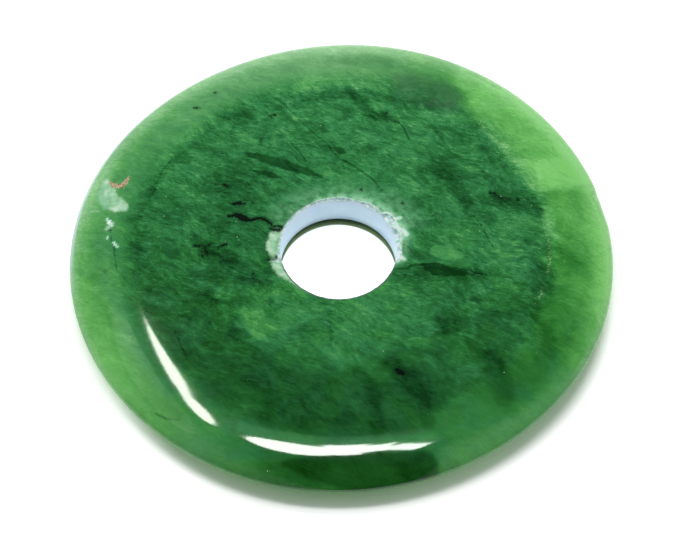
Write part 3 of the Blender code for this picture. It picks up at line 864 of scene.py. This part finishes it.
class Nephrite(Shader):
    """Polished green nephrite: clouded and streaked inside, smoother at the thin edge and lighter there
    with painted light through it.
    """

    def __init__(self, material):
        super().__init__(material)
        self.place = self.millimetres()
        parts = self.parts(self.place)
        self.over = {"x": parts["X"], "y": parts["Y"], "radius": self.stored("even_radius")}
        inputs = {"Vector": self.place, "Scale": 1.0 / DRIFT_SIZE, "Detail": 2.0}
        drift = self.node("ShaderNodeTexNoise", inputs).outputs["Color"]
        drift = self.vector("SUBTRACT", {0: drift, 1: (0.5, 0.5, 0.5)})
        drift = self.vector("SCALE", {0: drift, "Scale": DRIFT_REACH})
        self.warped = self.vector("ADD", {0: self.place, 1: drift})
        self.streaks = self.laid(self.warped, *STREAKS)
        self.strands = self.laid(self.warped, *STRANDS)
        self.mottle = self.noise(self.place, *MOTTLE)
        self.grain = self.noise(self.place, *GRAIN)
        self.ragged = self.centred(self.noise(self.place, *RAGGEDNESS), MARK_RAGGED)

    def where(self, rises):
        """How strongly a layer shows, from its smooth rises over x, y and the even radius."""
        share = 1.0
        for name, *rise in rises:
            share = self.times(share, self.rise(self.over[name], *rise))
        return share

    def mark(self, name, edge, raggedness=0.0):
        """How strongly a mark shows, by the distance to its edge."""
        return self.rise(self.add(self.stored(name), raggedness), *edge)

    def tone(self):
        """The lightness, from 0 to 1: patterns, patches and threads about the mesh's stored tone."""
        fibres = self.laid(self.warped, *FIBRES)
        flecks = self.laid(self.place, *FLECKS)
        fine = self.add(self.centred(self.grain, GRAIN_WEIGHT), self.rise(fibres, *FIBRE_RISE))
        fine = self.add(fine, self.rise(flecks, *FLECK_RISE))
        tone = self.times(fine, self.where(FINENESS))
        crossing = self.laid(self.warped, *CROSSING)
        clouds = self.noise(self.warped, *CLOUDS)
        patterns = (self.streaks, self.strands, crossing, clouds, self.mottle)
        for pattern, weight in zip(patterns, PATTERN_WEIGHTS):
            tone = self.add(tone, self.centred(pattern, weight))
        for *plates, rise in PLATES:
            tone = self.add(tone, self.rise(self.laid(self.warped, *plates), *rise))
        tone = self.times(tone, self.where(CALM))
        edge = self.centred(self.mottle, PATCH_RAGGED)
        in_dark = self.mark("dark_patch", DARK_PATCH_EDGE, edge)
        in_light = self.mark("light_patch", LIGHT_PATCH_EDGE, edge)
        calmed = self.times(self.most(in_dark, in_light), PATCH_CALM)
        tone = self.times(tone, self.less(1.0, calmed))
        light = self.times(in_light, LIGHT_PATCH_TONE)
        thread = self.mark("thread", THREAD_EDGE, self.centred(self.strands, THREAD_WAVER))
        dark = self.math("MINIMUM", self.times(in_dark, -DARK_PATCH_TONE), thread)
        tone = self.add(tone, self.add(light, dark))
        return self.add(tone, self.stored("tone"), clamp=True)

    def greens(self, tone):
        """The stone's colour at a tone, from cool green to warm; the warm greens also tint the painted
        shade on the front edge.
        """
        warmth = self.rise(self.noise(self.warped, *WARM_CLOUDS), *WARM_CLOUD_RISE)
        warmth = self.times(warmth, self.where(WARMTH))
        at_edge = self.most(self.where(RIM_WARMTH), self.where(LOW_LEFT_WARMTH))
        warmth = self.most(self.add(warmth, at_edge, clamp=True), self.where(FRONT_SHADE_WARMTH))
        return self.mix(warmth, self.ramp(tone, COOL_GREENS), self.ramp(tone, WARM_GREENS))

    def veils(self, colour):
        """A grey-white veil over the shoulder, partly milky stone and partly painted reflection; a
        painted reflection along the nose; a grey-green haze.
        """
        colour = self.paint(self.where(MILK_AND_SHEEN), colour, MILK_AND_SHEEN_COLOUR)
        colour = self.paint(self.where(NOSE_REFLECTION), colour, NOSE_REFLECTION_COLOUR)
        haze = self.times(self.stored("haze"), self.rise(self.streaks, *HAZE_RISE))
        return self.paint(haze, colour, HAZE_COLOUR)

    def marks(self, colour):
        """Mint, pale, rust and black marks, rows of grit and small specks."""
        self.mint = self.mark("mint", MINT_EDGE, self.ragged)
        colour = self.mix(self.mint, colour, self.ramp(self.mottle, MINT_COLOURS))
        clouded = self.rise(self.mottle, *PALE_CLOUD_RISE)
        pale = self.times(self.stored("pale"), clouded, clamp=True)
        colour = self.mix(self.rise(pale, *PALE_RISE), colour, self.ramp(pale, PALE_COLOURS))
        rust = self.mark("rust", RUST_EDGE, self.ragged)
        colour = self.mix(rust, colour, self.ramp(self.grain, RUST_COLOURS))
        for edge, black in ((HALO_EDGE, HALO_COLOUR), (BLACK_EDGE, BLACK_COLOUR)):
            colour = self.paint(self.mark("black", edge, self.ragged), colour, black)
        grains = self.rise(self.noise(self.place, *GRIT_GRAINS), *GRIT_RISE)
        grit = self.times(self.mark("grit", GRIT_EDGE), grains)
        colour = self.paint(grit, colour, GRIT_COLOUR)
        dots = self.scattered(self.place, *LIGHT_DOTS)
        speck = self.most(self.mark("speck", SPECK_EDGE), dots)
        colour = self.paint(speck, colour, SPECK_COLOUR)
        dots = self.scattered(self.stretch(self.place, *DARK_DOT_STRETCH), *DARK_DOTS)
        return self.paint(self.times(dots, DARK_DOT_SHARE), colour, DARK_SPECK_COLOUR)

    def bore(self, colour):
        """The bore's broken rim, its worn front edge and its pale unpolished wall, with painted shade at
        the wall's foot.
        """
        self.broken = self.stored("broken")
        self.crumbs = self.noise(self.place, *CRUMBS)
        colour = self.mix(self.broken, colour, self.ramp(self.crumbs, BROKEN_COLOURS))
        colour = self.paint(self.stored("worn_edge"), colour, WORN_EDGE_COLOUR)
        self.wall = self.stored("bore_wall")
        height = self.stored("height")
        wall_colour = self.ramp(self.noise(self.place, *WALL_CLOUDS), WALL_COLOURS)
        wall_colour = self.paint(self.rise(height, *WALL_TOP), wall_colour, WALL_TOP_COLOUR)
        wall_colour = self.paint(self.rise(height, *WALL_FOOT_SHADE), wall_colour, WALL_FOOT_SHADE_COLOUR)
        return self.mix(self.wall, colour, wall_colour)

    def polish(self, colour):
        """The polished surface, matt in the bore and on its broken rim, with a fine relief."""
        matt = self.most(self.broken, self.wall, self.times(self.mint, MINT_MATT))
        relief = self.add(self.times(self.mottle, MOTTLE_RELIEF), self.times(self.crumbs, matt))
        inputs = {"Strength": RELIEF_STRENGTH, "Distance": RELIEF_DEPTH * MM, "Height": relief}
        bump = self.node("ShaderNodeBump", inputs)
        self.surface({
            "Base Color": colour,
            "Roughness": self.blend(matt, self.rise(self.grain, *POLISH_RISE), MATT_ROUGHNESS),
            "IOR": STONE_IOR,
            "Normal": bump.outputs["Normal"],
        })


def nephrite():
    material = bpy.data.materials.new("nephrite")
    stone = Nephrite(material)
    colour = stone.veils(stone.greens(stone.tone()))
    stone.polish(stone.bore(stone.marks(colour)))
    return material


FLOOR_SIZE_M = 6.0
FLOOR_GAP_M = 0.00001
FLOOR_COLOUR = (0.9, 0.9, 0.9, 1.0)
FLOOR_ROUGHNESS = 0.9

# The floor is bright in the open, dim green under the thin edge, and dark in a crescent in the bore: all
# painted light and shade
# The open glow stops short of the disc, farthest out at the front, which paints the disc's shadow
OPEN_GLOW = (0.42, 0.42, 0.42, 1.0)
# Painted light through the stone: a dim green glow on a pinkish base
STONE_GLOW = (0.055, 0.1, 0.042, 1.0)
STONE_GLOW_FLOOR = (0.84, 0.8, 0.85, 1.0)
OPEN_FROM = (27.8, 29.7)
OPEN_NEARER = 2.3
OPEN_NEARER_FROM = (-26.5, -5.0)
OPEN_NEARER_LEFT = 0.34
# Painted shadow of the bore's back wall, in a crescent on the floor
CRESCENT_SHADOW_DARK = (0.04, 0.075, 0.022, 1.0)
CRESCENT_SHADOW_LIGHT = (0.18, 0.27, 0.11, 1.0)
CRESCENT_SHADOW_WIDTH = 0.7

# Soft borders on the floor round the bore, as distances out from its radius
BORE_COVER = (0.3, 0.1)
BORE_LIGHT = (0.1, -0.08)


def make_floor():
    """A wide plain pale floor, with painted shadow round the disc and in the bore, and the stone's green
    glow painted where its edge stands over it.
    """
    half = FLOOR_SIZE_M / 2
    low = -FLOOR_GAP_M
    mesh = bpy.data.meshes.new("floor")
    corners = [(-half, -half, low), (half, -half, low), (half, half, low), (-half, half, low)]
    mesh.from_pydata(corners, [], [(0, 1, 2, 3)])
    floor = add_object("floor", mesh)
    material = bpy.data.materials.new("pale_floor")
    shader = Shader(material)
    place = shader.millimetres()

    def distance_from(vector, x, y):
        return shader.vector("DISTANCE", {0: vector, 1: (x, y, 0.0)}, "Value")

    longer = 1.0 + OVAL_SWELL / OUTER_RADIUS
    shorter = 1.0 - OVAL_SWELL / OUTER_RADIUS
    even_place = shader.stretch(place, OVAL_ANGLE, (longer, shorter, 1.0))
    parts = shader.parts(place)
    # The open glow reaches nearer the disc away from the front and on the left, so the painted shadow is
    # widest in front
    from_front = shader.less(parts["Y"], shader.times(parts["X"], OPEN_NEARER_LEFT))
    nearer = shader.rise(from_front, *OPEN_NEARER_FROM, 0.0, OPEN_NEARER)
    away = shader.add(distance_from(even_place, 0.0, 0.0), nearer)
    outside = shader.rise(away, *OPEN_FROM)
    # In the bore the floor is open but for a crescent along the back wall, a painted shadow
    from_bore = distance_from(place, BORE_X, BORE_Y)
    from_light = distance_from(place, BORE_X, BORE_Y - CRESCENT_SHADOW_WIDTH)
    inside = shader.rise(from_bore, *(BORE_RADIUS + out for out in BORE_COVER))
    in_bore = shader.rise(from_light, *(BORE_RADIUS + out for out in BORE_LIGHT))
    open_floor = shader.most(outside, in_bore)
    crescent_shadow = shader.rise(from_light, BORE_RADIUS + CRESCENT_SHADOW_WIDTH, BORE_RADIUS)
    covered = shader.mix(inside, STONE_GLOW_FLOOR, shader.mix(crescent_shadow, CRESCENT_SHADOW_DARK, CRESCENT_SHADOW_LIGHT))
    glow = shader.mix(inside, STONE_GLOW, (0.0, 0.0, 0.0, 1.0))
    shader.surface({
        "Base Color": shader.mix(open_floor, covered, FLOOR_COLOUR),
        "Roughness": FLOOR_ROUGHNESS,
        "Emission Color": shader.mix(open_floor, glow, OPEN_GLOW),
        "Emission Strength": 1.0,
    })
    mesh.materials.append(material)


LAMP_HEIGHT = 264.0

# Lamps that the polish mirrors: name, shape, middle x and y, width, length, turn, radiance, colour
LAMPS = (
    ("front_lamp_left", "ELLIPSE", -21, 27, 54, 38, 0, 17.5, (1, 1, 0.96)),
    ("front_lamp_middle", "RECTANGLE", 4, 32, 20, 37, 0, 17.5, (1, 0.97, 1)),
    ("front_lamp_right", "RECTANGLE", 20, 32.5, 14, 23, 0, 17.5, (0.98, 1, 0.97)),
    ("front_lamp_end", "RECTANGLE", 39, 18.5, 34, 13, -45, 17.5, (0.97, 1, 0.97)),
    ("side_lamp_high", "ELLIPSE", -57.3, 108, 13.6, 70, -17, 17, (1, 1, 0.9)),
    ("side_lamp_low", "ELLIPSE", -66.4, 60, 15.5, 50, -8, 17, (1, 1, 0.9)),
    ("side_lamp_veil", "ELLIPSE", -54, 112, 10, 52, -19, 4, (0.88, 1, 0.9)),
    ("soft_wall_wide", "ELLIPSE", -128, 40, 76, 170, -11, 0.5, (0.95, 1, 0.97)),
    ("soft_wall_middle", "ELLIPSE", -118, 45, 54, 160, -11, 0.5, (0.95, 1, 0.97)),
    ("soft_wall_near", "ELLIPSE", -107, 50, 30, 150, -11, 0.7, (0.95, 1, 0.97)),
    ("front_lamp_veil", "ELLIPSE", -8, 60, 92, 44, 0, 0.35, (0.6, 1, 0.8)),
)

# The soft key lamp, which the polish doesn't mirror: x, y, height, width, length, radiance
KEY_LAMP = (-14.0, 34.0, 160.0, 130.0, 26.0, 15.5)


def add_lamp(name, shape, place, width, length, turn, radiance):
    light = bpy.data.lights.new(name, "AREA")
    light.shape = shape
    light.size = width * MM
    light.size_y = length * MM
    area = light.size * light.size_y * (math.pi / 4 if shape == "ELLIPSE" else 1.0)
    light.energy = radiance * math.pi * area
    lamp = add_object(name, light)
    lamp.location = Vector(place) * MM
    lamp.rotation_euler = (0.0, 0.0, math.radians(turn))
    lamp.visible_camera = False
    return lamp


def make_lamps():
    for name, shape, x, y, width, length, turn, radiance, colour in LAMPS:
        lamp = add_lamp(name, shape, (x, y, LAMP_HEIGHT), width, length, turn, radiance)
        lamp.data.color = colour
        lamp.visible_diffuse = False
    x, y, height, width, length, radiance = KEY_LAMP
    key = add_lamp("key_lamp", "RECTANGLE", (x, y, height), width, length, 0.0, radiance)
    key.visible_glossy = False


# Surroundings, as the disc mirrors them: dark above, bright low behind, dim in front with a dark gap.
# A lean is how far a direction is from straight up, over X or over Y.
DARK_LIGHT = 0.05
BEHIND_LIGHT = 1.0
FRONT_LIGHT = 0.24
SOFT_LIGHT = (0.15, 0.32)
SOFT_HEIGHTS = (0.3, 1.0)
SIDE_LIGHT = 0.58
SIDE_REACH = (0.35, 0.65)
SIDE_FROM_FRONT = (-0.45, 0.05)
LOW_HEIGHTS = (0.62, 0.25)
BEHIND_REACH = (-0.3, 0.1)
FRONT_LEAN = (0.1, -0.05)
GAP_LEFT_LEAN = (-0.44, -0.2)
GAP_RIGHT_LEAN = (0.25, 0.235)
GAP_SLANT = 0.44
LEAST_HEIGHT = 0.02
CAMERA_LIGHT = 0.95
LIGHT_COLOUR = (0.97, 0.99, 1.0, 1.0)


def make_world():
    """Soft surroundings: bright low down behind and beside the disc, dim above and in front."""
    world = bpy.data.worlds.new("soft_surroundings")
    sky = Shader(world)
    direction = sky.node("ShaderNodeTexCoord").outputs["Generated"]
    parts = sky.parts(direction)
    height = sky.most(parts["Z"], LEAST_HEIGHT)
    lean_x = sky.math("DIVIDE", parts["X"], height)
    lean_y = sky.math("DIVIDE", parts["Y"], height)
    slanted = sky.add(lean_x, sky.times(lean_y, GAP_SLANT))
    gap = sky.times(sky.rise(slanted, *GAP_RIGHT_LEAN), sky.rise(lean_x, *GAP_LEFT_LEAN))
    in_front = sky.times(sky.rise(lean_y, *FRONT_LEAN), sky.less(1.0, gap))
    behind = sky.times(sky.rise(parts["Z"], *LOW_HEIGHTS), sky.rise(parts["Y"], *BEHIND_REACH))
    mirrored = sky.add(sky.times(in_front, FRONT_LIGHT), DARK_LIGHT)
    mirrored = sky.add(mirrored, sky.times(behind, BEHIND_LIGHT))
    beside = sky.rise(sky.math("ABSOLUTE", parts["X"]), *SIDE_REACH, 0.0, SIDE_LIGHT)
    beside = sky.times(beside, sky.rise(parts["Y"], *SIDE_FROM_FRONT))
    soft = sky.add(beside, sky.rise(parts["Z"], *SOFT_HEIGHTS, *SOFT_LIGHT))
    path = sky.node("ShaderNodeLightPath").outputs
    light = sky.blend(path["Is Diffuse Ray"], mirrored, soft)
    light = sky.blend(path["Is Camera Ray"], light, CAMERA_LIGHT)
    back = sky.node("ShaderNodeBackground", {"Color": LIGHT_COLOUR, "Strength": light})
    sky.node("ShaderNodeOutputWorld", {"Surface": back.outputs["Background"]})
    bpy.context.scene.world = world


CAMERA_ELEVATION = math.radians(58.18)
CAMERA_DISTANCE = 239.4
CAMERA_TARGET = (0.3025, -0.283, 0.0)
CAMERA_ROLL = 0.0171
CAMERA_LENS = 120.51
SENSOR_WIDTH = 36.0
CLIP_START_M = 0.01


def make_camera():
    data = bpy.data.cameras.new("camera")
    data.lens = CAMERA_LENS
    data.sensor_width = SENSOR_WIDTH
    data.clip_start = CLIP_START_M
    camera = add_object("camera", data)
    back = Vector((0.0, -math.cos(CAMERA_ELEVATION), math.sin(CAMERA_ELEVATION)))
    place = (Vector(CAMERA_TARGET) + back * CAMERA_DISTANCE) * MM
    turn = (-back).to_track_quat("-Z", "Y").to_matrix().to_4x4()
    camera.matrix_world = Matrix.Translation(place) @ turn @ Matrix.Rotation(CAMERA_ROLL, 4, "Z")
    bpy.context.scene.camera = camera


disc = make_disc()
disc.data.materials.append(nephrite())
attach(disc, "root")
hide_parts("jade_disc")
make_floor()
make_lamps()
make_world()
make_camera()
bpy.context.scene.view_settings.view_transform = "Standard"
